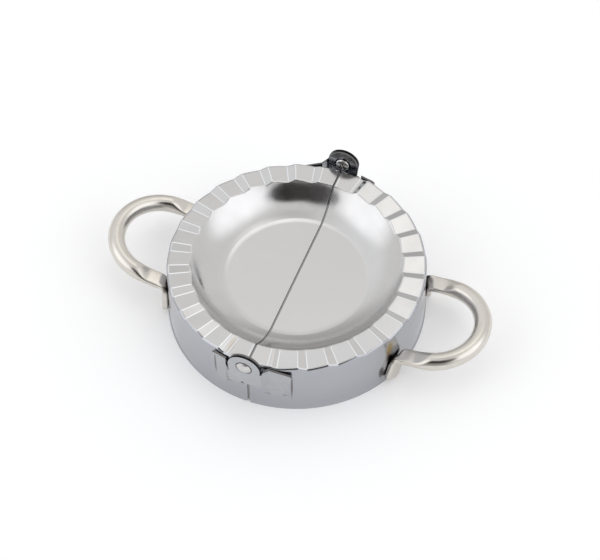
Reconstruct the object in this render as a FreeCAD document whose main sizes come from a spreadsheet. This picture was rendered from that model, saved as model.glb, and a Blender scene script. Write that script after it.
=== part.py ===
import FreeCAD, Part
import math
import os
import Sketcher

Vector = FreeCAD.Vector

# Empanada press, lying open on its table. Millimetres and degrees, +Z up, origin on the
# table at the centre of the round press. The seam and the hinge axis run along Y, and the
# handles point along +X (right half) and -X (left half). The left half is the right half
# turned half a turn about Z, so each pair of pieces comes from one function.

driving_sizes = {
    # Pressed half shell
    "press_radius": 47.5,
    "rim_height": 23.5,
    "sheet_thickness": 0.5,
    "seam_gap": 0.5,
    "seam_corner": 1.2,
    "rim_wall": 2.5,
    "skirt_flare": 0.65,
    "lip_flare": 0.35,
    "lip_height": 0.8,
    # Dished pocket
    "dish_depth": 8.4,
    "floor_radius": 26.2,
    "mouth_radius": 38.95,
    "wall_start_angle": 15,
    "floor_bend": 6,
    # Saw-tooth pleats
    "pleat_rise": 1,
    "pleat_step": 3.13,
    "pleat_pitch": 13.1,
    "pleat_count": 12,
    "pleat_turn": 0.9,
    "end_step": 1.9,
    "pleat_bend": 1.3,
    "rim_bend": 1.1,
    "mouth_bend": 0.8,
    "pleat_bend_below": 0.8,
    "rim_bend_below": 0.5,
    "mouth_bend_below": 0.3,
    # Hinge
    "pivot_rise": 1.5,
    "plate_thickness": 0.8,
    "ear_clearance": 0.7,
    "ear_gap": 0.1,
    "weld_gap": 0.05,
    "outer_ear_radius": 6.05,
    "inner_ear_radius": 5.8,
    "ear_taper": 1.05,
    "neck_drop": 10.4,
    "neck_rise": 1.6,
    "pad_drop": 16.4,
    "pad_corner": 1.2,
    "outer_pad_angle": 14.3,
    "outer_pad_length": 8.2,
    "outer_pad_top_drop": 4.2,
    "outer_pad_lean": 3.1,
    "shoulder_drop": 0.5,
    "outer_joggle_start": 6.1,
    "inner_pad_angle": 13.2,
    "inner_pad_length": 6.2,
    "inner_pad_top_drop": 2.3,
    "inner_pad_lean": 1.9,
    "inner_joggle_start": 6.2,
    "notch_width": 1.8,
    "notch_drop": 5.5,
    # Hinge rivet
    "rivet_diameter": 3,
    "rivet_clearance": 0.05,
    "head_diameter": 5.4,
    "head_height": 1,
    "tail_diameter": 5.3,
    "tail_length": 1,
    "tail_bore": 1.8,
    "tail_bore_depth": 1.6,
    # Loop handle
    "handle_diameter": 6.5,
    "right_handle_reach": 71,
    "left_handle_reach": 71.6,
    "right_handle_tilt": 7,
    "left_handle_tilt": 10,
    "handle_corner_radius": 15,
    "handle_corner_inset": 2.1,
    "handle_apex_bulge": 1.3,
    "handle_root_height": 11.15,
    "handle_root_reach": 50,
    "right_handle_round_lead": 2.5,
    "left_handle_round_lead": 1.9,
    "flat_end": 51.5,
    "flat_width": 6.4,
    "flat_thickness": 2.4,
    "tab_angle": 24,
    "tab_spread": 0.3,
    "tab_bottom": 1.5,
    "tab_bend": 0.8,
    # Length by which every cut runs past what it cuts
    "overrun": 5,
}

document = FreeCAD.newDocument("empanada_press")
sheet = document.addObject("Spreadsheet::Sheet", "sizes")
for row, (alias, value) in enumerate(driving_sizes.items(), start=1):
    sheet.set("A%d" % row, alias)
    sheet.set("B%d" % row, str(value))
    sheet.setAlias("B%d" % row, alias)
document.recompute()


def size(alias):
    return float(sheet.get(alias))


# Sizes that several pieces share
pivot_height = size("rim_height") + size("pivot_rise")
lip_radius = size("press_radius") + size("skirt_flare") + size("lip_flare")
wall_foot = size("rim_height") - size("rim_wall")
handle_half_width = size("handle_corner_radius") + size("handle_corner_inset")
tab_offset = handle_half_width + size("tab_spread")
rim_middle = (size("press_radius") + size("mouth_radius")) / 2
pleat_half_step = math.degrees(size("pleat_step") / 2 / rim_middle)
inner_ear_face = lip_radius + size("ear_clearance")
outer_ear_face = inner_ear_face + size("plate_thickness") + size("ear_gap")


# Share by which a sketch of a cut runs past the edge that it makes
overlap_share = 1.35
seam_edge_share = 0.75
plane_share = 0.001


def skirt_radius(height):
    """Outer radius of the flared skirt at a height between its lip and the rim wall."""
    share_down = (wall_foot - height) / (wall_foot - size("lip_height"))
    return size("press_radius") + size("skirt_flare") * share_down


# Sketch helpers


def origin_feature(body, role):
    for feature in body.Origin.OriginFeatures:
        if feature.Role == role:
            return feature


def new_sketch(body, name, role, offset=None):
    sketch = body.newObject("Sketcher::SketchObject", name)
    sketch.AttachmentSupport = [(origin_feature(body, role), "")]
    sketch.MapMode = "FlatFace"
    if offset:
        sketch.AttachmentOffset = offset
    return sketch


def bind(sketch, constraint, name, expression):
    """Add a dimension to a sketch and bind it to the sheet."""
    index = sketch.addConstraint(constraint)
    sketch.renameConstraint(index, name)
    sketch.setExpression("Constraints." + name, expression)


def draw(sketch, points, closed=True):
    """Draw a chain of (x, y) corners. A corner (x, y, mid_x, mid_y) starts an arc that
    runs through the mid point to the next corner. Returns the number of the first edge."""
    first = sketch.GeometryCount
    ends = []
    count = len(points) if closed else len(points) - 1
    for index in range(count):
        here, following = points[index], points[(index + 1) % len(points)]
        start, stop = Vector(here[0], here[1], 0), Vector(following[0], following[1], 0)
        if len(here) == 4:
            edge = Part.Arc(start, Vector(here[2], here[3], 0), stop)
        else:
            edge = Part.LineSegment(start, stop)
        number = sketch.addGeometry(edge, False)
        drawn_start = sketch.getPoint(number, 1)
        forward = drawn_start.distanceToPoint(start) < drawn_start.distanceToPoint(stop)
        ends.append((number, 1, 2) if forward else (number, 2, 1))
    for index in range(count if closed else count - 1):
        number, _, finish = ends[index]
        following, begin, _ = ends[(index + 1) % count]
        sketch.addConstraint(Sketcher.Constraint("Coincident", number, finish, following, begin))
    return first


def rounded(corners):
    """Turn (x, y, radius) corners into the points of draw, each rounded by its radius."""
    points = []
    for index, (x, y, radius) in enumerate(corners):
        here = Vector(x, y, 0)
        if not radius:
            points.append((x, y))
            continue
        before = Vector(*corners[index - 1][:2], 0) - here
        after = Vector(*corners[(index + 1) % len(corners)][:2], 0) - here
        half = before.getAngle(after) / 2
        setback = radius / math.tan(half)
        start = here + before.normalize() * setback
        stop = here + after.normalize() * setback
        inward = (before + after).normalize()
        middle = here + inward * (radius / math.sin(half) - radius)
        points.append((start.x, start.y, middle.x, middle.y))
        points.append((stop.x, stop.y))
    return points


def turned_plane(angle, radius):
    """Offset of a sketch on the YZ plane that faces outward at an angle about Z."""
    turn = FreeCAD.Rotation(Vector(0, 1, 0), angle)
    return FreeCAD.Placement(turn.multVec(Vector(0, 0, radius)), turn)


def add_feature(body, kind, name, profile, **settings):
    feature = body.newObject("PartDesign::" + kind, name)
    feature.Profile = profile
    for key, value in settings.items():
        setattr(feature, key, value)
    profile.Visibility = False
    return feature


def add_fillet(body, name, edges, expression):
    """Round the edges of the body's tip that the given function picks."""
    document.recompute()
    base = body.Tip
    names = ["Edge%d" % number for number, edge in enumerate(base.Shape.Edges, start=1) if edges(base.Shape, edge)]
    fillet = body.newObject("PartDesign::Fillet", name)
    fillet.Base = (base, names)
    fillet.setExpression("Radius", expression)
    return fillet


# Half shell: the outer form less the same form set in by the sheet's thickness


def radius_of(point):
    return math.hypot(point.x, point.y)


def on_plane(edge, x):
    return all(abs(vertex.X - x) < edge.Length * plane_share for vertex in edge.Vertexes)


def pleat_edge(shape, edge):
    """Ridge or valley line that runs straight across the rim."""
    if not isinstance(edge.Curve, Part.Line) or len(edge.Vertexes) < 2:
        return False
    start, stop = edge.Vertexes[0].Point, edge.Vertexes[-1].Point
    across = abs(radius_of(start) - radius_of(stop)) > (size("press_radius") - size("mouth_radius")) / 2
    in_rim = min(radius_of(start), radius_of(stop)) > size("floor_radius") + size("dish_depth")
    high = min(start.z, stop.z) > wall_foot
    level_seam = on_plane(edge, size("seam_gap") / 2) or on_plane(edge, 0)
    return across and in_rim and high and not level_seam


def surfaces_beside(shape, edge):
    return [face.Surface for face in shape.ancestorsOfType(edge, Part.Face)]


def rim_edge(shape, edge):
    """Edge between the pleats and the rim's outer wall."""
    middle = edge.valueAt((edge.FirstParameter + edge.LastParameter) / 2)
    if middle.z < wall_foot + size("pleat_rise") or middle.x < size("seam_gap") * seam_edge_share:
        return False
    walls = [surface for surface in surfaces_beside(shape, edge)
             if isinstance(surface, Part.Cylinder) and abs(surface.Axis.z) > abs(surface.Axis.x) + abs(surface.Axis.y)]
    return len(walls) == 1


def mouth_edge(shape, edge):
    """Edge between the pleats and the dished wall."""
    middle = edge.valueAt((edge.FirstParameter + edge.LastParameter) / 2)
    if middle.z < wall_foot or middle.x < size("seam_gap") * seam_edge_share or radius_of(middle) > rim_middle:
        return False
    walls = [surface for surface in surfaces_beside(shape, edge) if isinstance(surface, Part.SurfaceOfRevolution)]
    return len(walls) == 1


def floor_edge(shape, edge):
    """Round edge of the flat floor."""
    walls = [surface for surface in surfaces_beside(shape, edge) if isinstance(surface, Part.SurfaceOfRevolution)]
    return len(walls) == 1 and edge.BoundBox.ZLength < size("sheet_thickness") and edge.BoundBox.ZMax < wall_foot


def shell_form(name, inset, bends):
    """Solid block with the pleated top, the dish and the flared skirt, set in by inset."""
    body = document.addObject("PartDesign::Body", name)
    skirt_top = size("press_radius") - inset
    skirt_bottom = skirt_top + size("skirt_flare")
    lip = skirt_bottom + size("lip_flare")
    top = size("rim_height") + size("pleat_rise")
    floor = size("rim_height") - size("dish_depth") - inset
    run = size("mouth_radius") - size("floor_radius")
    start_angle = math.radians(size("wall_start_angle"))
    end_angle = 2 * math.atan2(size("dish_depth"), run) - start_angle
    wall_arc = math.hypot(size("dish_depth"), run) / (2 * math.sin((end_angle - start_angle) / 2))
    centre_x = size("floor_radius") - wall_arc * math.sin(start_angle)
    centre_z = size("rim_height") - size("dish_depth") + wall_arc * math.cos(start_angle)
    wall_arc += inset

    def wall_x(height):
        return centre_x + math.sqrt(wall_arc ** 2 - (centre_z - height) ** 2)

    middle = (top + floor) / 2
    section = new_sketch(body, name + "_section", "XZ_Plane")
    outline = [
        (lip, 0),
        (skirt_bottom, size("lip_height")),
        (skirt_top, wall_foot),
        (skirt_top, top),
        (wall_x(top), top, wall_x(middle), middle),
        (wall_x(floor), floor),
        (0, floor),
        (0, 0),
    ]
    if inset:
        # The hollow runs on below the lip, so that its cut leaves the underside open
        outline[-1] = (0, -size("overrun"))
        outline.append((lip, -size("overrun")))
    draw(section, outline)
    revolution = add_feature(body, "Revolution", name + "_revolution", section, Midplane=True, Angle=180)
    revolution.ReferenceAxis = (section, ["V_Axis"])

    # One saw-tooth valley, cut from outside the rim to the dish, and repeated
    outside = lip + size("overrun")
    cut_length = outside - size("floor_radius")
    pad_run = rim_middle * math.radians(size("pleat_pitch")) - size("pleat_step")
    pad_slope = size("pleat_rise") / pad_run
    step_slope = size("pleat_rise") / size("pleat_step")
    valley = size("rim_height") - size("pleat_rise") / 2 - inset
    crest = valley + size("pleat_rise")
    sky = size("rim_height") + size("overrun")
    past_pad = pad_run * overlap_share
    past_step = size("pleat_step") * overlap_share
    teeth_span = size("pleat_pitch") * size("pleat_count") - 2 * pleat_half_step
    first_valley = -teeth_span / 2 - size("pleat_turn")
    last_crest = teeth_span / 2 - size("pleat_turn")
    tooth = new_sketch(body, name + "_tooth", "YZ_Plane", turned_plane(first_valley, outside))
    draw(tooth, [
        (0, valley),
        (past_pad, valley + pad_slope * past_pad),
        (past_pad, sky),
        (-past_step, sky),
        (-past_step, valley + step_slope * past_step),
    ])
    tooth_cut = add_feature(body, "Pocket", name + "_tooth_cut", tooth, Type="Length", Length=cut_length)
    pattern = body.newObject("PartDesign::PolarPattern", name + "_teeth")
    pattern.Originals = [tooth_cut]
    pattern.Axis = (origin_feature(body, "Z_Axis"), [""])
    pattern.setExpression("Occurrences", "sizes.pleat_count")
    pattern.setExpression("Angle", "sizes.pleat_pitch * (sizes.pleat_count - 1) * 1 deg")
    body.Tip = pattern

    # Rear seam pad: a short step down from the last crest, then a slow rise to the seam
    seam_level = size("rim_height") - inset
    end_step = size("end_step")
    rear_run = rim_middle * math.tan(math.radians(90 - last_crest))
    rear_rise = (seam_level - valley) / (rear_run - end_step)
    past_seam = rear_run * overlap_share
    rear_pad = new_sketch(body, name + "_rear_pad", "YZ_Plane", turned_plane(last_crest, outside))
    draw(rear_pad, [
        (-end_step, crest + size("pleat_rise")),
        (end_step, valley),
        (past_seam, valley + rear_rise * (past_seam - end_step)),
        (past_seam, sky),
        (-end_step, sky),
    ])
    add_feature(body, "Pocket", name + "_rear_pad_cut", rear_pad, Type="Length", Length=cut_length)

    # Front seam pad: from the seam to a low crest on the step of the first valley
    first_crest = first_valley - math.degrees(end_step / rim_middle)
    low_crest = valley + step_slope * end_step
    front_run = rim_middle * math.tan(math.radians(90 + first_crest))
    front_fall = (low_crest - seam_level) / front_run
    past_seam = front_run * overlap_share
    past_crest = end_step * overlap_share - end_step
    front_pad = new_sketch(body, name + "_front_pad", "YZ_Plane", turned_plane(first_crest, outside))
    draw(front_pad, [
        (past_crest, low_crest + front_fall * past_crest),
        (-past_seam, low_crest - front_fall * past_seam),
        (-past_seam, sky),
        (past_crest, sky),
    ])
    add_feature(body, "Pocket", name + "_front_pad_cut", front_pad, Type="Length", Length=cut_length)

    if not inset:
        # The half stops short of the hinge plane, with its lower corners rounded
        seam = new_sketch(body, name + "_seam", "XZ_Plane")
        edge = size("seam_gap") / 2
        corner = size("seam_corner")
        share_in = 1 - math.sqrt(0.5)
        draw(seam, [
            (-lip, -size("overrun")),
            (edge + corner, -size("overrun")),
            (edge + corner, 0, edge + corner * share_in, corner * share_in),
            (edge, corner),
            (edge, sky),
            (-lip, sky),
        ])
        add_feature(body, "Pocket", name + "_seam_cut", seam, Type="ThroughAll", Midplane=True)

    pleat_bend, rim_bend, mouth_bend, floor_bend = bends
    add_fillet(body, name + "_pleat_bends", pleat_edge, pleat_bend)
    add_fillet(body, name + "_rim_bend", rim_edge, rim_bend)
    add_fillet(body, name + "_mouth_bend", mouth_edge, mouth_bend)
    add_fillet(body, name + "_floor_bend", floor_edge, floor_bend)
    return body


def half_turn(turn):
    return FreeCAD.Placement(Vector(0, 0, 0), FreeCAD.Rotation(Vector(0, 0, 1), turn))


def half_shell(side, turn, outside, inside):
    shell = document.addObject("Part::Cut", side + "_shell")
    shell.Base = outside
    shell.Tool = inside
    shell.Placement = half_turn(turn)
    return shell


# Hinge strap: a flat strip joggled in plan, then cut to its outline as seen from the front


def strip_in_plan(corners, thickness):
    """Both faces of a strip whose middle line has the given corners, with mitred bends."""
    middle = [Vector(x, y, 0) for x, y in corners]
    directions = [(after - before).normalize() for before, after in zip(middle, middle[1:])]
    sides = []
    for side in (1, -1):
        face = []
        for index, point in enumerate(middle):
            before = directions[max(index - 1, 0)]
            after = directions[min(index, len(directions) - 1)]
            normal = Vector(-(before + after).y, (before + after).x, 0).normalize()
            mitre = math.cos(before.getAngle(after) / 2)
            face.append(point + normal * (side * thickness / 2 / mitre))
        sides.append(face)
    return [(point.x, point.y) for point in sides[0] + sides[1][::-1]]


def weld_pad(angle, length):
    """Ends, in plan, of the middle line of a pad that lies against the front skirt."""
    distance = skirt_radius(pivot_height - size("pad_drop")) + size("weld_gap") + size("plate_thickness") / 2
    middle = Vector(math.cos(angle), math.sin(angle), 0) * distance
    along = Vector(-math.sin(angle), math.cos(angle), 0) * (length / 2)
    return middle - along, middle + along


def strap(name, turn, corners, outline):
    body = document.addObject("PartDesign::Body", name)
    plan = new_sketch(body, name + "_plan", "XY_Plane")
    draw(plan, strip_in_plan(corners, size("plate_thickness")))
    add_feature(body, "Pad", name + "_strip", plan, Type="Length", Length=pivot_height + size("overrun") * 2)

    reach = lip_radius
    front = new_sketch(body, name + "_front", "XZ_Plane")
    draw(front, [(-reach, -reach), (reach, -reach), (reach, reach), (-reach, reach)])
    draw(front, outline)
    add_feature(body, "Pocket", name + "_outline", front, Type="ThroughAll", Midplane=True)

    hole = new_sketch(body, name + "_hole", "XZ_Plane")
    number = hole.addGeometry(Part.Circle(Vector(0, pivot_height, 0), Vector(0, 0, 1), 1), False)
    bind(hole, Sketcher.Constraint("Diameter", number, 2), "bore", "sizes.rivet_diameter + 2 * sizes.rivet_clearance")
    bind(hole, Sketcher.Constraint("DistanceY", -1, 1, number, 3, pivot_height), "height",
         "sizes.rim_height + sizes.pivot_rise")
    hole.addConstraint(Sketcher.Constraint("PointOnObject", number, 3, -2))
    add_feature(body, "Pocket", name + "_bore", hole, Type="ThroughAll", Midplane=True)
    body.Placement = half_turn(turn)
    return body


def outer_strap(name, turn):
    """Strap whose ear lies outside, with its pad to the right of the hinge."""
    ear_middle = outer_ear_face + size("plate_thickness") / 2
    near, far = weld_pad(math.radians(size("outer_pad_angle") - 90), size("outer_pad_length"))
    ear = size("outer_ear_radius")
    corners = [(-ear - size("overrun"), -ear_middle), (size("outer_joggle_start"), -ear_middle),
               (near.x, near.y), (far.x, far.y)]
    neck = pivot_height - size("neck_drop")
    pad_bottom = pivot_height - size("pad_drop")
    pad_top = pivot_height - size("outer_pad_top_drop")
    shoulder = math.sqrt(ear ** 2 - size("shoulder_drop") ** 2)
    corner = size("pad_corner")
    outline = rounded([
        (-ear + size("ear_taper"), neck, corner),
        (near.x - corner / 2, neck + size("neck_rise"), corner / 2),
        (near.x + corner / 2, pad_bottom, corner),
        (far.x - size("outer_pad_lean"), pad_bottom, corner),
        (far.x, pad_top, corner),
        (shoulder, pivot_height - size("shoulder_drop"), 0),
        (-ear, pivot_height, 0),
    ])
    outline[-2] += (0, pivot_height + ear)
    return strap(name, turn, corners, outline)


def inner_strap(name, turn):
    """Strap whose ear lies inside, with its pad to the left of the hinge and a notch
    between the two."""
    ear_middle = inner_ear_face + size("plate_thickness") / 2
    far, near = weld_pad(math.radians(-90 - size("inner_pad_angle")), size("inner_pad_length"))
    ear = size("inner_ear_radius")
    corners = [(far.x, far.y), (near.x, near.y), (-size("inner_joggle_start"), -ear_middle),
               (ear + size("overrun"), -ear_middle)]
    neck = pivot_height - size("neck_drop")
    pad_bottom = pivot_height - size("pad_drop")
    pad_top = pivot_height - size("inner_pad_top_drop")
    notch = pivot_height - size("notch_drop")
    notch_side = -size("inner_joggle_start") - size("notch_width")
    side = math.sqrt(ear ** 2 - size("notch_drop") ** 2)
    corner = size("pad_corner")
    outline = rounded([
        (far.x, pad_top, corner),
        (far.x + size("inner_pad_lean"), pad_bottom, corner),
        (near.x, pad_bottom, corner),
        (-size("inner_joggle_start"), neck, corner / 2),
        (ear - size("ear_taper"), neck, corner),
        (ear, pivot_height, 0),
        (-ear, pivot_height, 0),
        (-side, notch, 0),
        (notch_side, notch, 0),
        (notch_side, pad_top, 0),
    ])
    outline[-5] += (0, pivot_height + ear)
    return strap(name, turn, corners, outline)


# Hinge rivet: a domed head outside, and a tail rolled over the inner ear


def rivet(name, turn):
    body = document.addObject("PartDesign::Body", name)
    shank = size("rivet_diameter") / 2
    head = size("head_diameter") / 2
    tail = size("tail_diameter") / 2
    bore = size("tail_bore") / 2
    head_face = outer_ear_face + size("plate_thickness") + size("ear_gap")
    head_top = head_face + size("head_height")
    tail_end = inner_ear_face - size("tail_length")
    rolled = size("tail_length") / 2
    dome = (head ** 2 + size("head_height") ** 2) / (2 * size("head_height"))
    half_head = head * math.sin(math.asin(min(head / dome, 1)) / 2) / math.sin(math.asin(min(head / dome, 1)))
    half_drop = dome - math.sqrt(dome ** 2 - half_head ** 2)
    section = new_sketch(body, name + "_section", "YZ_Plane", FreeCAD.Placement(
        Vector(0, pivot_height, 0), FreeCAD.Rotation(Vector(0, 0, 1), 0)))
    draw(section, [
        (-head_top, 0, -head_top + half_drop, half_head),
        (-head_face, head),
        (-head_face, shank),
        (-inner_ear_face, shank),
        (-inner_ear_face, tail),
        (-inner_ear_face + rolled, tail, -tail_end - rolled * (1 - math.sqrt(0.5)), tail - rolled * (1 - math.sqrt(0.5))),
        (-tail_end, tail - rolled),
        (-tail_end, bore),
        (-tail_end - size("tail_bore_depth"), bore),
        (-tail_end - size("tail_bore_depth") - bore / 2, 0),
    ])
    revolution = add_feature(body, "Revolution", name + "_revolution", section, Angle=360)
    revolution.ReferenceAxis = (section, ["H_Axis"])
    body.Placement = half_turn(turn)
    return body


# Loop handle: a bent tube whose flattened ends fold down into tabs on the skirt

# Angle round the tube, from its flank, of the corners that run out into the strip's edges
flank_angle = 35


def tube_section(body, name, placement):
    """Round section of the tube as four arcs, one for each side of the flattened end."""
    radius = size("handle_diameter") / 2
    corners = [math.radians(angle) for angle in (flank_angle, 180 - flank_angle, 180 + flank_angle, 360 - flank_angle)]
    points = []
    for index, corner in enumerate(corners):
        middle = math.radians(90 * (index + 1))
        points.append((radius * math.cos(corner), radius * math.sin(corner),
                       radius * math.cos(middle), radius * math.sin(middle)))
    section = new_sketch(body, name, "XY_Plane", placement)
    first = draw(section, points)
    bind(section, Sketcher.Constraint("Diameter", first, radius * 2), "tube", "sizes.handle_diameter")
    return section


def flat_end(body, name, side, tilt):
    """Flattened strip that folds down into a tab against the skirt. The fold runs along
    the skirt's tangent, so the tab leans away from the handle's middle. The profile lies
    in the leaning plane and is extruded along the fold."""
    angle = math.radians(size("tab_angle"))
    slope = math.tan(math.radians(tilt))
    thickness = size("flat_thickness")
    bottom = size("tab_bottom")
    root = size("handle_root_height")
    lean_angle = math.atan(math.sin(angle))
    stretch = 1 / math.cos(lean_angle)

    def weld_face(height):
        return (skirt_radius(height) + size("weld_gap") - tab_offset * math.sin(angle)) / math.cos(angle)

    fall = (weld_face(bottom) - weld_face(root)) / (root - bottom)
    half_depth = thickness / math.cos(angle) / 2
    half_rise = thickness / 2 / math.cos(math.radians(tilt))

    def strip_height(reach, face):
        return root + (reach - size("handle_root_reach")) * slope + face * half_rise

    def tab_reach(height, face):
        return weld_face(bottom) + half_depth * (1 + face) - fall * (height - bottom)

    def bend_corner(face, strip_face):
        """Where a face of the tab meets the strip's lower or upper face."""
        height = strip_height(tab_reach(root, face), strip_face)
        reach = tab_reach(height, face)
        return reach, strip_height(reach, strip_face)

    def leaning(reach, height, radius=0):
        """Sketch position, in the leaning plane, of a point of the upright profile."""
        return (reach - math.sin(angle) * math.tan(angle) * (root - height), (height - root) * stretch, radius)

    end = size("flat_end")
    turned = FreeCAD.Rotation(Vector(1, 0, 0), side * math.degrees(lean_angle))
    offset = FreeCAD.Placement(Vector(0, root, -side * tab_offset), turned)
    profile = new_sketch(body, name + "_profile", "XZ_Plane", offset)
    draw(profile, rounded([
        leaning(tab_reach(bottom, -1), bottom),
        leaning(tab_reach(bottom, 1), bottom),
        leaning(*bend_corner(1, -1), size("tab_bend")),
        leaning(end + slope * half_rise, strip_height(end + slope * half_rise, -1)),
        leaning(end - slope * half_rise, strip_height(end - slope * half_rise, 1)),
        leaning(*bend_corner(-1, 1), size("tab_bend") + thickness),
    ]))
    pad = add_feature(body, "Pad", name, profile, Type="Length", Midplane=True)
    pad.UseCustomVector = True
    pad.Direction = Vector(-side * math.sin(angle), math.cos(angle), 0)
    pad.AlongSketchNormal = False
    pad.setExpression("Length", "sizes.flat_width / cos(sizes.tab_angle)")

    document.recompute()
    return pad


def handle(name, turn):
    body = document.addObject("PartDesign::Body", name)
    body.AllowCompound = True
    tilt_angle = size(name + "_tilt")
    tilt = FreeCAD.Rotation(Vector(0, 1, 0), -tilt_angle)
    root = Vector(size("handle_root_reach"), 0, size("handle_root_height"))
    stretch = math.cos(math.radians(tilt_angle))

    def along(reach):
        return (reach - size("handle_root_reach")) / stretch

    # The loop is two corner arcs and the apex arc that is tangent to both
    corner = size("handle_corner_radius")
    reach = size(name + "_reach")
    corner_x = along(reach - corner - size("handle_apex_bulge"))
    width = handle_half_width
    corner_y = size("handle_corner_inset")
    apex = along(reach)
    depth = apex - corner_x
    apex_radius = (depth ** 2 + width ** 2 - 2 * width * corner) / (2 * (depth - corner))
    toward = Vector(corner_x - apex + apex_radius, corner_y, 0).normalize()
    joint = Vector(corner_x, corner_y, 0) + toward * corner
    round_start = along(reach - corner + size(name + "_round_lead"))
    start_angle = math.acos((round_start - corner_x) / corner)
    start = Vector(corner_x + corner * math.cos(start_angle), corner_y + corner * math.sin(start_angle), 0)
    middle_angle = (start_angle + math.atan2(toward.y, toward.x)) / 2
    middle = Vector(corner_x + corner * math.cos(middle_angle), corner_y + corner * math.sin(middle_angle), 0)
    path = new_sketch(body, name + "_path", "XY_Plane", FreeCAD.Placement(root, tilt))
    draw(path, [
        (start.x, -start.y, middle.x, -middle.y),
        (joint.x, -joint.y, apex, 0),
        (joint.x, joint.y, middle.x, middle.y),
        (start.x, start.y),
    ], closed=False)

    sections = {}
    for side, end_name in ((-1, "front"), (1, "rear")):
        # Across the tube: sketch x along the flat's width, sketch y up
        across = FreeCAD.Rotation(Vector(0, 1, 0), Vector(0, 0, 1), Vector(1, 0, 0), "ZXY")
        swing = FreeCAD.Rotation(Vector(0, 0, 1), -side * (90 - math.degrees(start_angle)))
        place = FreeCAD.Placement(root + tilt.multVec(Vector(start.x, side * start.y, 0)), tilt * swing * across)
        sections[side] = tube_section(body, name + "_" + end_name + "_section", place)

    loop = add_feature(body, "AdditivePipe", name + "_loop", sections[-1])
    loop.Spine = (path, ["Edge1", "Edge2", "Edge3"])
    document.recompute()
    for side, end_name in ((-1, "front"), (1, "rear")):
        strip = flat_end(body, name + "_" + end_name + "_end", side, tilt_angle)
        centre = Vector(size("flat_end"), side * tab_offset, size("handle_root_height"))
        distances = [face.CenterOfMass.distanceToPoint(centre) for face in strip.Shape.Faces]
        end_face = distances.index(min(distances)) + 1
        loft = body.newObject("PartDesign::AdditiveLoft", name + "_" + end_name + "_flattening")
        loft.Profile = (strip, ["Face%d" % end_face])
        loft.Sections = [(sections[side], [""])]
        loft.Ruled = True
        document.recompute()
    body.Placement = half_turn(turn)
    return body


outside_form = shell_form("shell_outside", 0, (
    "sizes.pleat_bend", "sizes.rim_bend", "sizes.mouth_bend", "sizes.floor_bend"))
inside_form = shell_form("shell_inside", size("sheet_thickness"), (
    "sizes.pleat_bend_below", "sizes.rim_bend_below", "sizes.mouth_bend_below",
    "sizes.floor_bend + sizes.sheet_thickness"))

pieces = []
for side, turn in (("right", 0), ("left", 180)):
    pieces.append(half_shell(side, turn, outside_form, inside_form))
    pieces.append(handle(side + "_handle", turn))
for end, turn in (("front", 0), ("rear", 180)):
    pieces.append(outer_strap(end + "_outer_hinge_plate", turn))
    pieces.append(inner_strap(end + "_inner_hinge_plate", turn))
    pieces.append(rivet(end + "_rivet", turn))

document.recompute()
for item in document.Objects:
    if "Invalid" in item.State or "Error" in item.State:
        raise RuntimeError("%s failed" % item.Name)
for piece in pieces:
    if piece.Shape.isNull() or not piece.Shape.isValid():
        raise RuntimeError("%s has no valid shape" % piece.Name)

os.makedirs("parts", exist_ok=True)
for piece in pieces:
    piece.Shape.exportStep("parts/%s.step" % piece.Label)
    print(piece.Label, len(piece.Shape.Solids), round(piece.Shape.Volume, 2), len(piece.Shape.Faces))
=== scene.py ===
import math
import bpy
from mathutils import Matrix, Vector


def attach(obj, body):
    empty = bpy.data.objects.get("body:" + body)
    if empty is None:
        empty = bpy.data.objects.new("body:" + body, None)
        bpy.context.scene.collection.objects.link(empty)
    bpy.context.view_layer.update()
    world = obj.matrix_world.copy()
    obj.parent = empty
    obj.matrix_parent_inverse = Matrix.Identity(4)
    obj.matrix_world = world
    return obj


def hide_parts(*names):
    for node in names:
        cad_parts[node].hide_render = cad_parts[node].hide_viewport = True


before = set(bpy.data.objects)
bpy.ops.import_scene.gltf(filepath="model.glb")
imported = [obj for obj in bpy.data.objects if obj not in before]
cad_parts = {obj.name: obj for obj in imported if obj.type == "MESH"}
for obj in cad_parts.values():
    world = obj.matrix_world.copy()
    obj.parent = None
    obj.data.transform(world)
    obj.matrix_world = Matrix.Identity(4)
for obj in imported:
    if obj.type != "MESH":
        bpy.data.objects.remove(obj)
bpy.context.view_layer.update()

millimetre = 0.001


def linearColour(hexCode):
    parts = [int(hexCode[i:i + 2], 16) / 255 for i in (1, 3, 5)]
    return [c / 12.92 if c <= 0.04045 else ((c + 0.055) / 1.055) ** 2.4 for c in parts] + [1]


def addNode(tree, kind, settings=None, links=None, **properties):
    node = tree.nodes.new(kind)
    for name, value in properties.items():
        setattr(node, name, value)
    for name, value in (settings or {}).items():
        node.inputs[name].default_value = value
    for name, source in (links or {}).items():
        tree.links.new(source, node.inputs[name])
    return node


def blankMaterial(name):
    material = bpy.data.materials.new(name)
    material.use_nodes = True
    material.node_tree.nodes.clear()
    return material, material.node_tree


# Camera, fitted to the rim, floor, skirt and handles of the press

cameraView = {
    "azimuth": 21.28,
    "elevation": 53.01,
    "distance": 560,
    "shiftRight": 1.12,
    "shiftUp": 7.40,
    "roll": -0.37,
    "focalLength": 89.04,
    "sensorWidth": 36,
}


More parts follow.
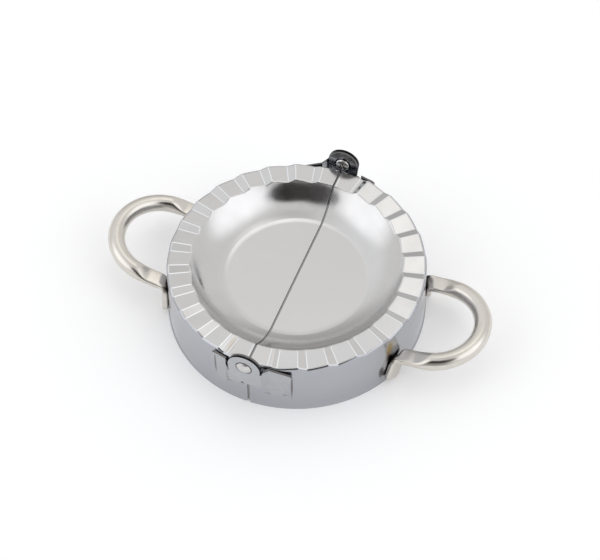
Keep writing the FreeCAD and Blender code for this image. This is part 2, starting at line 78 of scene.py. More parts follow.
def makeCamera(view):
    azimuth = math.radians(view["azimuth"])
    elevation = math.radians(view["elevation"])
    roll = math.radians(view["roll"])
    back = Vector((
        math.sin(azimuth) * math.cos(elevation),
        -math.cos(azimuth) * math.cos(elevation),
        math.sin(elevation),
    ))
    levelRight = Vector((math.cos(azimuth), math.sin(azimuth), 0))
    levelUp = back.cross(levelRight)
    right = levelRight * math.cos(roll) + levelUp * math.sin(roll)
    up = levelUp * math.cos(roll) - levelRight * math.sin(roll)
    place = (back * view["distance"] + right * view["shiftRight"] + up * view["shiftUp"]) * millimetre
    camera = bpy.data.objects.new("photoCamera", bpy.data.cameras.new("photoCamera"))
    camera.data.lens = view["focalLength"]
    camera.data.sensor_fit = "HORIZONTAL"
    camera.data.sensor_width = view["sensorWidth"]
    camera.matrix_world = Matrix.Translation(place) @ Matrix((right, up, back)).transposed().to_4x4()
    bpy.context.scene.collection.objects.link(camera)
    bpy.context.scene.camera = camera


makeCamera(cameraView)
print("camera placed")


# Stainless steel. Sizes are in millimetres. A blotch is a patch of heavier or lighter polish, and
# marks are stains, tints, outlines and painted shade at fixed places of a piece.

# Cold-pressed sheet, satin polished: broad soft reflections with blurred edges and faint circles
shellLook = {
    "name": "pressedSatinStainless",
    "colour": "#d7d6d5",
    "colourWorn": "#cbcac9",
    # the skirt beyond this radius is painted darker and bluer: painted shade standing in for the dim,
    # shadowed table that it reflects
    "wall": {"radius": 46.75, "blend": 0.2805, "colour": "#b1b3b8"},
    "roughness": (0.12, 0.22),
    "blotchSize": 11,
    "grainSize": 0.35,         # coarser than real satin grain, so that it shows
    "grainHeight": 0.0012,
    "ringSpacing": 0.5,        # between polishing rings
    "ringHeight": 0.0010,
    # painted highlights: both bends of each slanting step of the rim are painted as fine bright lines,
    # standing in for the glint of their small radii. In degrees: a bend's place round from X, the pitch
    # of the pleats, the width of a step, half the width of a line. In mm: the ring of the rim that
    # carries the lines
    "bends": {
        "first": -77.43, "pitch": 13.1, "step": 4.15, "halfWidth": 0.38,
        "from": 39.3, "to": 46.7, "colour": "#e6e8eb",
    },
    # painted shade: a thin black band along the seam, over the cut faces and edges in the gap between
    # the halves
    "seam": {"halfWidth": 0.34, "blend": 0.051, "colour": "#16171a"},
    "marks": [
        # a straw heat tint above the right front tab, and near-black patches on the skirt beside each
        # tab
        {"at": (43.0, -20.4, 17.2), "size": (2.4, 2.4, 5.5), "colour": "#a8915a", "strength": 0.85},
        {"at": (43.5, -20.0, 10.6), "size": (2.6, 2.6, 4.0), "colour": "#2a2320", "strength": 0.95},
        {"at": (41.6, -23.9, 6.6), "size": (1.6, 1.6, 4.2), "colour": "#332b27", "strength": 0.8},
        {"at": (43.4, 20.0, 11.0), "size": (2.6, 2.6, 4.5), "colour": "#2a2320", "strength": 0.8},
        {"at": (-43.6, -20.0, 11.0), "size": (2.4, 2.4, 4.5), "colour": "#2a2320", "strength": 0.8},
        {"at": (-43.6, 20.0, 11.0), "size": (2.4, 2.4, 4.5), "colour": "#2a2320", "strength": 0.8},
        # painted shade: dark brown patches on the rim just behind each ear, in the gap between them,
        # and a pale tan patch on the front rim
        {"at": (-4.4, -46.0, 22.6), "size": (3.4, 1.6, 1.6), "colour": "#4a352c", "strength": 0.6},
        {"at": (4.4, 46.0, 22.6), "size": (3.4, 1.6, 1.6), "colour": "#4a352c", "strength": 0.5},
        {"at": (-8.2, -42.0, 22.8), "size": (1.8, 4.6, 1.6), "colour": "#b9a88e", "strength": 0.35},
        # thin dark outlines of the welded hinge straps
        {"at": (15.5, -45.1, 13.5), "size": (0.5, 2.5, 9.5), "colour": "#5a5350", "strength": 0.75},
        {"at": (10.4, -46.7, 7.9), "size": (6.0, 3.0, 0.5), "colour": "#5a5350", "strength": 0.7},
        {"at": (-8.8, -46.9, 8.6), "size": (3.4, 3.0, 0.5), "colour": "#5a5350", "strength": 0.7},
        {"at": (-15.5, 45.1, 13.5), "size": (0.5, 2.5, 9.5), "colour": "#5a5350", "strength": 0.75},
        {"at": (-10.4, 46.7, 7.9), "size": (6.0, 3.0, 0.5), "colour": "#5a5350", "strength": 0.7},
        {"at": (8.8, 46.9, 8.6), "size": (3.4, 3.0, 0.5), "colour": "#5a5350", "strength": 0.7},
    ],
}
# Bent tube, buffed after bending: warmer than the sheet, with long soft streaks of light along it
handleLook = {
    "name": "buffedBentTube",
    "colour": "#dcd8d2",
    "colourWorn": "#d0cac1",
    "roughness": (0.17, 0.25),
    "blotchSize": 7,
    "grainSize": 0.8,
    "grainHeight": 0.0006,
    "ringSpacing": 0.8,
    "ringHeight": 0.0006,
    # dark patches on the tabs by the spot welds
    "marks": [
        {"at": (44.4, -20.0, 10.2), "size": (1.6, 1.8, 3.0), "colour": "#3a302a", "strength": 0.8},
        {"at": (44.4, 20.0, 10.2), "size": (1.6, 1.8, 3.0), "colour": "#3a302a", "strength": 0.8},
        {"at": (-44.4, -20.0, 10.2), "size": (1.6, 1.8, 3.0), "colour": "#3a302a", "strength": 0.8},
        {"at": (-44.4, 20.0, 10.2), "size": (1.6, 1.8, 3.0), "colour": "#3a302a", "strength": 0.8},
    ],
}
# Strap as it leaves the stamping press, unpolished: a duller grey face and dark sheared edges
plateLook = {
    "name": "stampedStrapSteel",
    "colour": "#b9bbbe",
    "colourWorn": "#aeb0b3",
    "sheared": {"colour": "#6a6664", "facing": (0.35, 0.7), "strength": 0.9},
    "roughness": (0.18, 0.28),
    "blotchSize": 3,
    "grainSize": 0.6,
    "grainHeight": 0.0006,
    "ringSpacing": 0.6,
    "ringHeight": 0.0004,
    # painted shade: a dark ring round the rivet head where the gap shades it, and a black crescent
    # along the ear's top edge
    "shadeRings": [
        {"height": 25, "radius": 2.85, "width": 0.2, "above": 20, "colour": "#2c2a2a"},
        {"height": 25, "radius": 6.3, "width": 0.36, "above": 23.5, "colour": "#1d1d1f"},
    ],
    # the dark outline of each inner strap's end, and a brown spot under each outer ear
    "marks": [
        {"at": (-12.6, -47.1, 15.3), "size": (0.55, 2.0, 9.5), "colour": "#5a5350", "strength": 0.7},
        {"at": (12.6, 47.1, 15.3), "size": (0.55, 2.0, 9.5), "colour": "#5a5350", "strength": 0.7},
        {"at": (-0.8, -50.9, 15.6), "size": (0.9, 0.8, 0.7), "colour": "#5c4436", "strength": 0.8},
        {"at": (0.8, 50.9, 15.6), "size": (0.9, 0.8, 0.7), "colour": "#5c4436", "strength": 0.8},
    ],
}
# Headed rivet, polished by the die that forms it: the smallest and sharpest highlight of the press
rivetLook = {
    "name": "polishedRivetHead",
    "colour": "#d8d8d8",
    "colourWorn": "#c2bfbc",
    "roughness": (0.08, 0.15),
    "blotchSize": 1.5,
    "grainSize": 0.3,
    "grainHeight": 0.0008,
    "ringSpacing": 0.3,
    "ringHeight": 0.0005,
    "marks": [],
}
# Shared by the four
finish = {
    "blotchDetail": 3,
    "blotchRoughness": 0.6,
    "blotchRange": (0.35, 0.65),   # of the noise, from the smoothest polish to the roughest
    "grainDetail": 1,
    "ringDetail": 2,
    "bumpStrength": 0.5,
    "markFade": (0.55, 1.25),      # share of a mark's size where its fade starts and ends
    "markRagged": 0.5,             # how much the blotches eat into the outline of a mark
    "markRoughness": 0.15,         # added where a mark is full
    # painted highlight: how much of each bend line is fully bright
    "bendHighlightCore": 0.4,               # share of a bend line that is fully bright
}


def steelMaterial(look):
    material, tree = blankMaterial(look["name"])
    place = addNode(tree, "ShaderNodeTexCoord").outputs["Object"]
    axes = addNode(tree, "ShaderNodeSeparateXYZ", None, {"Vector": place})
    across = addNode(tree, "ShaderNodeVectorMath", {1: (1, 1, 0)}, {0: place}, operation="MULTIPLY")
    across = across.outputs["Vector"]
    radius = addNode(tree, "ShaderNodeVectorMath", None, {0: across}, operation="LENGTH")
    radius = radius.outputs["Value"]
    offSeam = addNode(tree, "ShaderNodeMath", None, {0: axes.outputs["X"]}, operation="ABSOLUTE")
    offSeam = offSeam.outputs["Value"]
    # rings are fine across the radius and height, and the same all the way round the axis
    ringPlace = addNode(tree, "ShaderNodeCombineXYZ", None, {"X": radius, "Y": axes.outputs["Z"]})
    noises = {
        "blotchSize": (
            {"Detail": finish["blotchDetail"], "Roughness": finish["blotchRoughness"]}, place,
        ),
        "grainSize": ({"Detail": finish["grainDetail"]}, place),
        "ringSpacing": ({"Detail": finish["ringDetail"]}, ringPlace.outputs["Vector"]),
    }
    pattern = {}
    for name, (settings, vector) in noises.items():
        settings["Scale"] = 1 / (look[name] * millimetre)
        pattern[name] = addNode(tree, "ShaderNodeTexNoise", settings, {"Vector": vector}).outputs["Fac"]
    blotch = pattern["blotchSize"]
    smooth, rough = look["roughness"]
    least, most = finish["blotchRange"]
    roughness = addNode(
        tree, "ShaderNodeMapRange",
        {"From Min": least, "From Max": most, "To Min": smooth, "To Max": rough},
        {"Value": blotch},
    ).outputs["Result"]

    # what is painted over the steel, in order (tints, outlines, painted shade and painted highlights):
    # how much of it, and its colour
    coats = []
    # painted shade: the skirt beyond the wall radius is darkened and blued
    if "wall" in look:
        edge = look["wall"]["radius"] * millimetre
        amount = addNode(
            tree, "ShaderNodeMapRange",
            {"From Min": edge, "From Max": edge + look["wall"]["blend"] * millimetre,
             "To Min": 0, "To Max": 1},
            {"Value": radius},
        )
        coats.append((amount.outputs["Result"], look["wall"]["colour"]))
    for mark in look["marks"]:
        shift = addNode(
            tree, "ShaderNodeVectorMath",
            {1: [c * millimetre for c in mark["at"]]}, {0: place}, operation="SUBTRACT",
        )
        shrink = addNode(
            tree, "ShaderNodeVectorMath",
            {1: [1 / (c * millimetre) for c in mark["size"]]},
            {0: shift.outputs["Vector"]}, operation="MULTIPLY",
        )
        far = addNode(
            tree, "ShaderNodeVectorMath", None, {0: shrink.outputs["Vector"]}, operation="LENGTH",
        )
        ragged = addNode(
            tree, "ShaderNodeMath", {1: finish["markRagged"]}, {0: blotch}, operation="MULTIPLY",
        )
        edge = addNode(
            tree, "ShaderNodeMath", None,
            {0: far.outputs["Value"], 1: ragged.outputs["Value"]}, operation="ADD",
        )
        fadeStart, fadeEnd = finish["markFade"]
        amount = addNode(
            tree, "ShaderNodeMapRange",
            {"From Min": fadeStart, "From Max": fadeEnd, "To Min": mark["strength"], "To Max": 0},
            {"Value": edge.outputs["Value"]}, interpolation_type="SMOOTHSTEP",
        ).outputs["Result"]
        coats.append((amount, mark["colour"]))
        roughness = addNode(
            tree, "ShaderNodeMath", {1: finish["markRoughness"]},
            {0: amount, 2: roughness}, operation="MULTIPLY_ADD",
        ).outputs["Value"]
    # painted highlights: fine bright lines on both bends of each step of the rim
    if "bends" in look:
        bends = look["bends"]
        # the halves are one pressing turned half a turn, so X below zero is turned back first
        half = addNode(tree, "ShaderNodeMath", None, {0: axes.outputs["X"]}, operation="SIGN")
        sideways = addNode(
            tree, "ShaderNodeMath", None,
            {0: axes.outputs["Y"], 1: half.outputs["Value"]}, operation="MULTIPLY",
        )
        angle = addNode(
            tree, "ShaderNodeMath", None,
            {0: sideways.outputs["Value"], 1: offSeam}, operation="ARCTAN2",
        )
        shifted = addNode(
            tree, "ShaderNodeMath", {1: 180 / math.pi, 2: -bends["first"]},
            {0: angle.outputs["Value"]}, operation="MULTIPLY_ADD",
        )
        lines = []
        for bend in (0, bends["pitch"] - bends["step"]):
            centred = addNode(
                tree, "ShaderNodeMath", {1: bends["pitch"] / 2 - bend},
                {0: shifted.outputs["Value"]}, operation="ADD",
            )
            turned = addNode(
                tree, "ShaderNodeMath", {1: bends["pitch"]},
                {0: centred.outputs["Value"]}, operation="FLOORED_MODULO",
            )
            away = addNode(
                tree, "ShaderNodeMath", {1: bends["pitch"] / 2},
                {0: turned.outputs["Value"]}, operation="SUBTRACT",
            )
            line = addNode(
                tree, "ShaderNodeMath", None, {0: away.outputs["Value"]}, operation="ABSOLUTE",
            )
            lines.append(line.outputs["Value"])
        nearest = addNode(tree, "ShaderNodeMath", None, {0: lines[0], 1: lines[1]}, operation="MINIMUM")
        wide = bends["halfWidth"]
        onBendHighlight = addNode(
            tree, "ShaderNodeMapRange",
            {"From Min": wide * finish["bendHighlightCore"], "From Max": wide, "To Min": 1, "To Max": 0},
            {"Value": nearest.outputs["Value"]},
        )
        middle = (bends["from"] + bends["to"]) / 2 * millimetre
        onRim = addNode(
            tree, "ShaderNodeMath", {1: middle, 2: (bends["to"] - bends["from"]) / 2 * millimetre},
            {0: radius}, operation="COMPARE",
        )
        amount = addNode(
            tree, "ShaderNodeMath", None,
            {0: onBendHighlight.outputs["Result"], 1: onRim.outputs["Value"]}, operation="MULTIPLY",
        )
        coats.append((amount.outputs["Value"], bends["colour"]))
    if "sheared" in look:
        # faces that don't look away from the axis are the sheared edge of the strap
        away = addNode(tree, "ShaderNodeVectorMath", None, {0: across}, operation="NORMALIZE")
        normal = addNode(tree, "ShaderNodeNewGeometry").outputs["Normal"]
        facing = addNode(
            tree, "ShaderNodeVectorMath", None, {0: normal, 1: away.outputs["Vector"]},
            operation="DOT_PRODUCT",
        )
        facing = addNode(
            tree, "ShaderNodeMath", None, {0: facing.outputs["Value"]}, operation="ABSOLUTE",
        )
        edgeOn, faceOn = look["sheared"]["facing"]
        amount = addNode(
            tree, "ShaderNodeMapRange",
            {"From Min": edgeOn, "From Max": faceOn,
             "To Min": look["sheared"]["strength"], "To Max": 0},
            {"Value": facing.outputs["Value"]},
        )
        coats.append((amount.outputs["Result"], look["sheared"]["colour"]))
    # painted shade: the seam gap and its edges are painted near black
    if "seam" in look:
        wide = look["seam"]["halfWidth"] * millimetre
        amount = addNode(
            tree, "ShaderNodeMapRange",
            {"From Min": wide, "From Max": wide + look["seam"]["blend"] * millimetre,
             "To Min": 1, "To Max": 0},
            {"Value": offSeam},
        )
        coats.append((amount.outputs["Result"], look["seam"]["colour"]))
    # painted shade: dark rings about the pivot, above a given height
    for ring in look.get("shadeRings", []):
        shift = addNode(
            tree, "ShaderNodeVectorMath", {1: (0, 0, ring["height"] * millimetre)},
            {0: place}, operation="SUBTRACT",
        )
        upright = addNode(
            tree, "ShaderNodeVectorMath", {1: (1, 0, 1)}, {0: shift.outputs["Vector"]},
            operation="MULTIPLY",
        )
        far = addNode(
            tree, "ShaderNodeVectorMath", None, {0: upright.outputs["Vector"]}, operation="LENGTH",
        )
        onShadeRing = addNode(
            tree, "ShaderNodeMath", {1: ring["radius"] * millimetre, 2: ring["width"] * millimetre},
            {0: far.outputs["Value"]}, operation="COMPARE",
        )
        above = addNode(
            tree, "ShaderNodeMath", {1: ring["above"] * millimetre},
            {0: axes.outputs["Z"]}, operation="GREATER_THAN",
        )
        amount = addNode(
            tree, "ShaderNodeMath", None,
            {0: onShadeRing.outputs["Value"], 1: above.outputs["Value"]}, operation="MULTIPLY",
        )
        coats.append((amount.outputs["Value"], ring["colour"]))

    colour = addNode(
        tree, "ShaderNodeMix",
        {"A": linearColour(look["colour"]), "B": linearColour(look["colourWorn"])},
        {"Factor": blotch}, data_type="RGBA",
    ).outputs[2]
    for amount, coat in coats:
        colour = addNode(
            tree, "ShaderNodeMix", {"B": linearColour(coat)},
            {"Factor": amount, "A": colour}, data_type="RGBA",
        ).outputs[2]
    relief = {}
    for name, height in (("grainSize", "grainHeight"), ("ringSpacing", "ringHeight")):
        relief["Height"] = pattern[name]
        bump = addNode(
            tree, "ShaderNodeBump",
            {"Strength": finish["bumpStrength"], "Distance": look[height] * millimetre}, relief,
        )
        relief["Normal"] = bump.outputs["Normal"]
    steel = addNode(
        tree, "ShaderNodeBsdfPrincipled", {"Metallic": 1},
        {"Base Color": colour, "Roughness": roughness, "Normal": relief["Normal"]},
    )
    addNode(tree, "ShaderNodeOutputMaterial", None, {"Surface": steel.outputs["BSDF"]})
    return material


# the last word of a node's name says which kind of piece it is
looks = {"shell": shellLook, "handle": handleLook, "plate": plateLook, "rivet": rivetLook}
steels = {kind: steelMaterial(look) for kind, look in looks.items()}
for name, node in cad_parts.items():
    node.data.materials.clear()
    node.data.materials.append(steels[name.split("_")[-1]])
print("steel laid on", len(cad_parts), "pieces")


# Bent handles: one tube, round over the loop, pressed to a strip at each leg and folded down as a tab

handleSize = {
    "root": (50, 0, 11.15),
    "reach": {"right": 71, "left": 71.6},
    "tilt": {"right": 7, "left": 10},
    "loopDepth": 16.3,
    "halfWidth": 17.1,
    "cornerRadius": 15,
    "tubeRadius": 3.24,
    "roundFrom": 58.5,      # x where the tube is still round
    "flatFrom": 51.5,       # x where the strip is fully pressed
    "stripHalfWidth": 3.2,
    "stripHalfThickness": 1.2,
    "stripCorner": 0.42,    # 1 is an ellipse, smaller is squarer
    "legOffset": 17.4,
    "tabAngle": 24,
    "tabDistance": 49.43,   # middle of the tab from the axis, at the table
    "tabLean": 0.033,
    "creaseHeight": 10.6,
    "tabBottom": 1.55,
    "tabTaper": ((0.3, 1), (0.6, 1), (0.86, 1), (0.94, 0.985), (0.98, 0.94), (1, 0.86)),
    "foldReach": 2.7,
    "steps": {"apex": 30, "corner": 3, "leg": 14, "strip": 4, "fold": 12},
    "facets": 40,
    "sharpAngle": 50,
}
handleColumns = {
    "centre": "FLOAT_VECTOR",
    "thickWay": "FLOAT_VECTOR",
    "wideWay": "FLOAT_VECTOR",
    "flat": "FLOAT",
    "taper": "FLOAT",
}


def handleSide(size, tilt, reach):
    # stations from the apex to the foot of the tab: place, way of the thickness, flatness, taper
    steps = size["steps"]
    slope = math.radians(tilt)
    root = Vector(size["root"])
    out = Vector((math.cos(slope), 0, math.sin(slope)))
    across = Vector((0, 1, 0))
    up = Vector((-math.sin(slope), 0, math.cos(slope)))
    corner = size["cornerRadius"]
    cornerX = (reach - size["loopDepth"] - root.x) / math.cos(slope)
    cornerY = size["halfWidth"] - corner
    apexX = (reach - root.x) / math.cos(slope)
    depth = apexX - cornerX
    wide = size["halfWidth"]
    apexRadius = (depth ** 2 + wide ** 2 - 2 * wide * corner) / (2 * (depth - corner))
    joint = math.atan2(cornerY, cornerX - apexX + apexRadius)
    start = math.acos(((size["roundFrom"] - root.x) / math.cos(slope) - cornerX) / corner)
    stations = []
    for i in range(steps["apex"] + 1):
        a = joint * i / steps["apex"]
        along = apexX - apexRadius + apexRadius * math.cos(a)
        centre = root + out * along + across * apexRadius * math.sin(a)
        stations.append((centre, up, 0, 1))
    for i in range(1, steps["corner"] + 1):
        a = joint + (start - joint) * i / steps["corner"]
        along, aside = cornerX + corner * math.cos(a), cornerY + corner * math.sin(a)
        centre = root + out * along + across * aside
        stations.append((centre, up, 0, 1))
    # the leg swings from the tube's own direction to straight along the strip
    first = stations[-1][0]
    way = (out * math.sin(start) - across * math.cos(start)) * -1
    flatEnd = root + out * ((size["flatFrom"] - root.x) / math.cos(slope)) + across * size["legOffset"]
    span = (flatEnd - first).length
    for i in range(1, steps["leg"] + 1):
        t = i / steps["leg"]
        cube, square = t ** 3, t ** 2
        centre = first * (2 * cube - 3 * square + 1) + way * span * (cube - 2 * square + t)
        centre = centre + flatEnd * (3 * square - 2 * cube) - out * span * (cube - square)
        stations.append((centre, up, t * t * (3 - 2 * t), 1))
    # the strip folds down over the crease and leans against the skirt
    turn = math.radians(size["tabAngle"])
    outwards = Vector((math.cos(turn), math.sin(turn), 0))
    facing = (outwards + Vector((0, 0, size["tabLean"]))).normalized()
    creaseDistance = size["tabDistance"] - size["tabLean"] * size["creaseHeight"]
    x = (creaseDistance - math.sin(turn) * size["legOffset"]) / math.cos(turn)
    crease = root + out * ((x - root.x) / math.cos(slope)) + across * size["legOffset"]
    down = Vector((-math.sin(turn), math.cos(turn), 0)) * math.tan(turn) - Vector((0, 0, 1))
    down = (down + outwards * size["tabLean"]).normalized()
    foldStart = crease + out * size["foldReach"]
    foldEnd = crease + down * size["foldReach"]
    for i in range(1, steps["strip"]):
        stations.append((flatEnd.lerp(foldStart, i / steps["strip"]), up, 1, 1))
    for i in range(steps["fold"] + 1):
        t = i / steps["fold"]
        centre = foldStart * (1 - t) ** 2 + crease * 2 * t * (1 - t) + foldEnd * t ** 2
        stations.append((centre, up.lerp(-facing, t * t * (3 - 2 * t)).normalized(), 1, 1))
    foot = foldEnd + down * ((foldEnd.z - size["tabBottom"]) / -down.z)
    for t, taper in size["tabTaper"]:
        stations.append((foldEnd.lerp(foot, t), -facing, 1, taper))
    return stations


def handleLine(side, size):
    half = handleSide(size, size["tilt"][side], size["reach"][side])
    mirrored = [
        (Vector((c.x, -c.y, c.z)), Vector((w.x, -w.y, w.z)), f, t) for c, w, f, t in half[:0:-1]
    ]
    turn = Matrix.Rotation(0 if side == "right" else math.pi, 3, "Z")
    stations = [(turn @ c * millimetre, turn @ w, f, t) for c, w, f, t in mirrored + half]
    centres = [c for c, w, f, t in stations]
    mesh = bpy.data.meshes.new(side + "HandleLine")
    mesh.from_pydata(centres, [(i, i + 1) for i in range(len(centres) - 1)], [])
    columns = {name: [] for name in handleColumns}
    for i, (centre, thick, flat, taper) in enumerate(stations):
        ahead = (centres[min(i + 1, len(centres) - 1)] - centres[max(i - 1, 0)]).normalized()
        thick = (thick - ahead * thick.dot(ahead)).normalized()
        columns["centre"].extend(centre)
        columns["thickWay"].extend(thick)
        columns["wideWay"].extend(ahead.cross(thick))
        columns["flat"].append(flat)
        columns["taper"].append(taper)
    for name, kind in handleColumns.items():
        column = mesh.attributes.new(name, kind, "POINT")
        column.data.foreach_set("vector" if kind == "FLOAT_VECTOR" else "value", columns[name])
    return mesh


def sweepTree():
    tree = bpy.data.node_groups.new("bentTubeSweep", "GeometryNodeTree")
    sockets = tree.interface
    sockets.new_socket("Geometry", in_out="OUTPUT", socket_type="NodeSocketGeometry")
    sockets.new_socket("Geometry", in_out="INPUT", socket_type="NodeSocketGeometry")
    for name in ("Tube radius", "Strip half width", "Strip half thickness", "Strip corner"):
        sockets.new_socket(name, in_out="INPUT", socket_type="NodeSocketFloat")
    sockets.new_socket("Facets", in_out="INPUT", socket_type="NodeSocketInt")
    sockets.new_socket("Steel", in_out="INPUT", socket_type="NodeSocketMaterial")
    given = addNode(tree, "NodeGroupInput").outputs
    stored = {}
    for name, kind in handleColumns.items():
        column = addNode(tree, "GeometryNodeInputNamedAttribute", {"Name": name}, data_type=kind)
        stored[name] = column.outputs["Attribute"]

    line = addNode(tree, "GeometryNodeMeshToCurve", None, {"Mesh": given["Geometry"]})
    framed = addNode(
        tree, "GeometryNodeSetCurveNormal", None,
        {"Curve": line.outputs["Curve"], "Normal": stored["thickWay"]}, mode="FREE",
    )
    circle = addNode(
        tree, "GeometryNodeCurvePrimitiveCircle", {"Radius": 1}, {"Resolution": given["Facets"]},
        mode="RADIUS",
    )
    swept = addNode(
        tree, "GeometryNodeCurveToMesh", {"Fill Caps": True},
        {"Curve": framed.outputs["Curve"], "Profile Curve": circle.outputs["Curve"]},
    )

    # the round section is squared up by a power that falls from 1 to the strip's corner value
    position = addNode(tree, "GeometryNodeInputPosition").outputs["Position"]
    offset = addNode(
        tree, "ShaderNodeVectorMath", None, {0: position, 1: stored["centre"]}, operation="SUBTRACT",
    )
    power = addNode(tree, "ShaderNodeMath", {1: 1}, {0: given["Strip corner"]}, operation="SUBTRACT")
    power = addNode(
        tree, "ShaderNodeMath", None, {0: stored["flat"], 1: power.outputs[0]}, operation="MULTIPLY",
    )
    power = addNode(tree, "ShaderNodeMath", {1: 1}, {0: power.outputs[0]}, operation="ADD")
    place = stored["centre"]
    for way, strip in (("wideWay", "Strip half width"), ("thickWay", "Strip half thickness")):
        share = addNode(
            tree, "ShaderNodeVectorMath", None, {0: offset.outputs["Vector"], 1: stored[way]},
            operation="DOT_PRODUCT",
        ).outputs["Value"]
        sign = addNode(tree, "ShaderNodeMath", None, {0: share}, operation="SIGN")
        squared = addNode(tree, "ShaderNodeMath", None, {0: share}, operation="ABSOLUTE")
        squared = addNode(tree, "ShaderNodeMath", {1: 1}, {0: squared.outputs[0]}, operation="MINIMUM")
        squared = addNode(
            tree, "ShaderNodeMath", None, {0: squared.outputs[0], 1: power.outputs[0]},
            operation="POWER",
        )
        half = addNode(
            tree, "ShaderNodeMath", None, {0: given[strip], 1: given["Tube radius"]},
            operation="SUBTRACT",
        )
        half = addNode(
            tree, "ShaderNodeMath", None, {0: stored["flat"], 1: half.outputs[0]}, operation="MULTIPLY",
        )
        half = addNode(
            tree, "ShaderNodeMath", None, {0: given["Tube radius"], 1: half.outputs[0]},
            operation="ADD",
        )
        for factor in (stored["taper"], squared.outputs[0], sign.outputs[0]):
            half = addNode(
                tree, "ShaderNodeMath", None, {0: factor, 1: half.outputs[0]}, operation="MULTIPLY",
            )
        step = addNode(
            tree, "ShaderNodeVectorMath", None, {0: stored[way], "Scale": half.outputs[0]},
            operation="SCALE",
        )
        place = addNode(
            tree, "ShaderNodeVectorMath", None, {0: place, 1: step.outputs["Vector"]}, operation="ADD",
        ).outputs["Vector"]

    shaped = addNode(
        tree, "GeometryNodeSetPosition", None, {"Geometry": swept.outputs["Mesh"], "Position": place},
    )
    smooth = addNode(tree, "GeometryNodeSetShadeSmooth", None, {"Geometry": shaped.outputs["Geometry"]})
    realized = addNode(
        tree, "GeometryNodeRealizeInstances", None, {"Geometry": smooth.outputs["Geometry"]},
    )
    finished = addNode(
        tree, "GeometryNodeSetMaterial", None,
        {"Geometry": realized.outputs["Geometry"], "Material": given["Steel"]},
    )
    addNode(tree, "NodeGroupOutput", None, {"Geometry": finished.outputs["Geometry"]})
    return tree


def makeHandle(side, size, tree, steel):
    maker = bpy.data.objects.new(side + "HandleMaker", handleLine(side, size))
    bpy.context.scene.collection.objects.link(maker)
    modifier = maker.modifiers.new("sweep", "NODES")
    modifier.node_group = tree
    values = {
        "Tube radius": size["tubeRadius"] * millimetre,
        "Strip half width": size["stripHalfWidth"] * millimetre,
        "Strip half thickness": size["stripHalfThickness"] * millimetre,
        "Strip corner": size["stripCorner"],
        "Facets": size["facets"],
        "Steel": steel,
    }
    for socket in tree.interface.items_tree:
        if socket.name in values:
            modifier[socket.identifier] = values[socket.name]
    maker.update_tag()
    bpy.context.view_layer.update()
    mesh = bpy.data.meshes.new_from_object(maker.evaluated_get(bpy.context.evaluated_depsgraph_get()))
    bpy.data.objects.remove(maker)
    for name in handleColumns:
        mesh.attributes.remove(mesh.attributes[name])
    mesh.set_sharp_from_angle(angle=math.radians(size["sharpAngle"]))
    handle = bpy.data.objects.new(side + "BentHandle", mesh)
    bpy.context.scene.collection.objects.link(handle)
    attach(handle, side + "_half")
    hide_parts(side + "_handle")
    return handle


sweep = sweepTree()
for side in ("right", "left"):
    handle = makeHandle(side, handleSize, sweep, steels["handle"])
    print(side, "handle swept,", len(handle.data.polygons), "faces")


# Table: matt paper that lifts to white where it is seen, and still carries the press's shadow

table = {"halfSide": 3.0, "colour": "#ececec", "roughness": 0.9, "glowColour": "#ffffff", "glow": 0.24}


def makeTable(size):
    s = size["halfSide"]
    mesh = bpy.data.meshes.new("table")
    mesh.from_pydata([(-s, -s, 0), (s, -s, 0), (s, s, 0), (-s, s, 0)], [], [(0, 1, 2, 3)])
    top = bpy.data.objects.new("table", mesh)
    bpy.context.scene.collection.objects.link(top)
    material, tree = blankMaterial("matPaperSweep")
    path = addNode(tree, "ShaderNodeLightPath").outputs
    seen = addNode(
        tree, "ShaderNodeMath", None,
        {0: path["Is Camera Ray"], 1: path["Is Glossy Ray"]}, operation="ADD",
    )
    seen = addNode(
        tree, "ShaderNodeMath", None,
        {0: seen.outputs["Value"], 1: path["Is Transmission Ray"]}, operation="ADD", use_clamp=True,
    )
    glow = addNode(
        tree, "ShaderNodeMath", {1: size["glow"]}, {0: seen.outputs["Value"]}, operation="MULTIPLY",
    )
    paper = addNode(
        tree, "ShaderNodeBsdfPrincipled",
        {"Base Color": linearColour(size["colour"]), "Roughness": size["roughness"],
         "Emission Color": linearColour(size["glowColour"])},
        {"Emission Strength": glow.outputs["Value"]},
    )
    # from below the sheet isn't there, so that a view from under the press isn't blocked
    below = addNode(tree, "ShaderNodeNewGeometry").outputs["Backfacing"]
    clear = addNode(tree, "ShaderNodeBsdfTransparent").outputs["BSDF"]
    sheet = addNode(tree, "ShaderNodeMixShader", None, {0: below, 1: paper.outputs["BSDF"], 2: clear})
    addNode(tree, "ShaderNodeOutputMaterial", None, {"Surface": sheet.outputs["Shader"]})
    mesh.materials.append(material)


makeTable(table)
print("table laid")


# Studio: an even white room with soft boxes left, right and above behind, and a dark side in front.
# Azimuth counts from X towards Y, elevation from the table, and reach is where a box starts and ends
# its fade, all in degrees

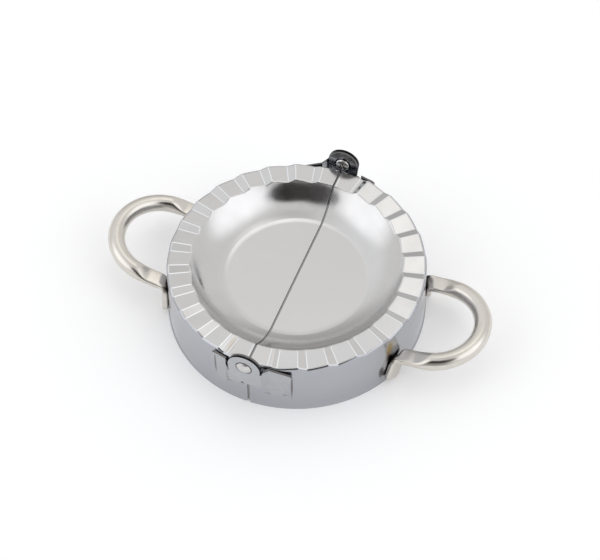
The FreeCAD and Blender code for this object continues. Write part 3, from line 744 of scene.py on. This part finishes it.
studio = {
    "wall": ("#ffffff", 0.84),
    "leastLight": (0.045, 0.04, 0.04),
    "boxes": [
        {"azimuth": -5, "elevation": 36, "reach": (12, 38), "colour": "#f6f8ff", "add": 0.72},
        {"azimuth": -145, "elevation": 32, "reach": (12, 36), "colour": "#f6f9ff", "add": 0.70},
        {"azimuth": 85, "elevation": 70, "reach": (6, 20), "colour": "#fffdf8", "add": 0.46},
        {"azimuth": 160, "elevation": 52, "reach": (8, 34), "colour": "#e6f0ff", "add": 0.14},
        {"azimuth": 100, "elevation": 50, "reach": (10, 30), "colour": "#fff6e4", "add": 0.06},
        {"azimuth": 0, "elevation": 88, "reach": (4, 14), "colour": "#ffffff", "add": -0.15},
        {"azimuth": 115, "elevation": 0, "reach": (8, 36), "colour": "#ffffff", "add": -0.32},
        {"azimuth": -62, "elevation": 47, "reach": (14, 20), "colour": "#ffffff", "add": -1.2},
        {"azimuth": -93, "elevation": 47, "reach": (14, 20), "colour": "#ffffff", "add": -1.2},
        {"azimuth": -78, "elevation": 12, "reach": (14, 34), "colour": "#ffffff", "add": -0.45},
    ],
}


def makeStudio(light):
    world = bpy.data.worlds.new("studio")
    bpy.context.scene.world = world
    world.use_nodes = True
    tree = world.node_tree
    tree.nodes.clear()
    way = addNode(tree, "ShaderNodeTexCoord").outputs["Generated"]
    hexCode, strength = light["wall"]
    wall = [c * strength for c in linearColour(hexCode)[:3]]
    soFar = None
    for box in light["boxes"]:
        a, e = math.radians(box["azimuth"]), math.radians(box["elevation"])
        centre = (math.cos(a) * math.cos(e), math.sin(a) * math.cos(e), math.sin(e))
        inner, outer = [math.cos(math.radians(r)) for r in box["reach"]]
        facing = addNode(tree, "ShaderNodeVectorMath", {1: centre}, {0: way}, operation="DOT_PRODUCT")
        amount = addNode(
            tree, "ShaderNodeMapRange",
            {"From Min": outer, "From Max": inner, "To Min": 0, "To Max": 1},
            {"Value": facing.outputs["Value"]}, interpolation_type="SMOOTHSTEP",
        )
        settings = {1: [c * box["add"] for c in linearColour(box["colour"])[:3]]}
        links = {0: amount.outputs["Result"]}
        if soFar:
            links[2] = soFar
        else:
            settings[2] = wall
        soFar = addNode(tree, "ShaderNodeVectorMath", settings, links, operation="MULTIPLY_ADD")
        soFar = soFar.outputs["Vector"]
    # the dark side never falls to black
    lifted = addNode(
        tree, "ShaderNodeVectorMath", {1: light["leastLight"]}, {0: soFar}, operation="MAXIMUM",
    )
    background = addNode(
        tree, "ShaderNodeBackground", {"Strength": 1}, {"Color": lifted.outputs["Vector"]},
    )
    addNode(tree, "ShaderNodeOutputWorld", None, {"Surface": background.outputs["Background"]})


makeStudio(studio)
bpy.context.scene.view_settings.view_transform = "Standard"
print("studio lit")
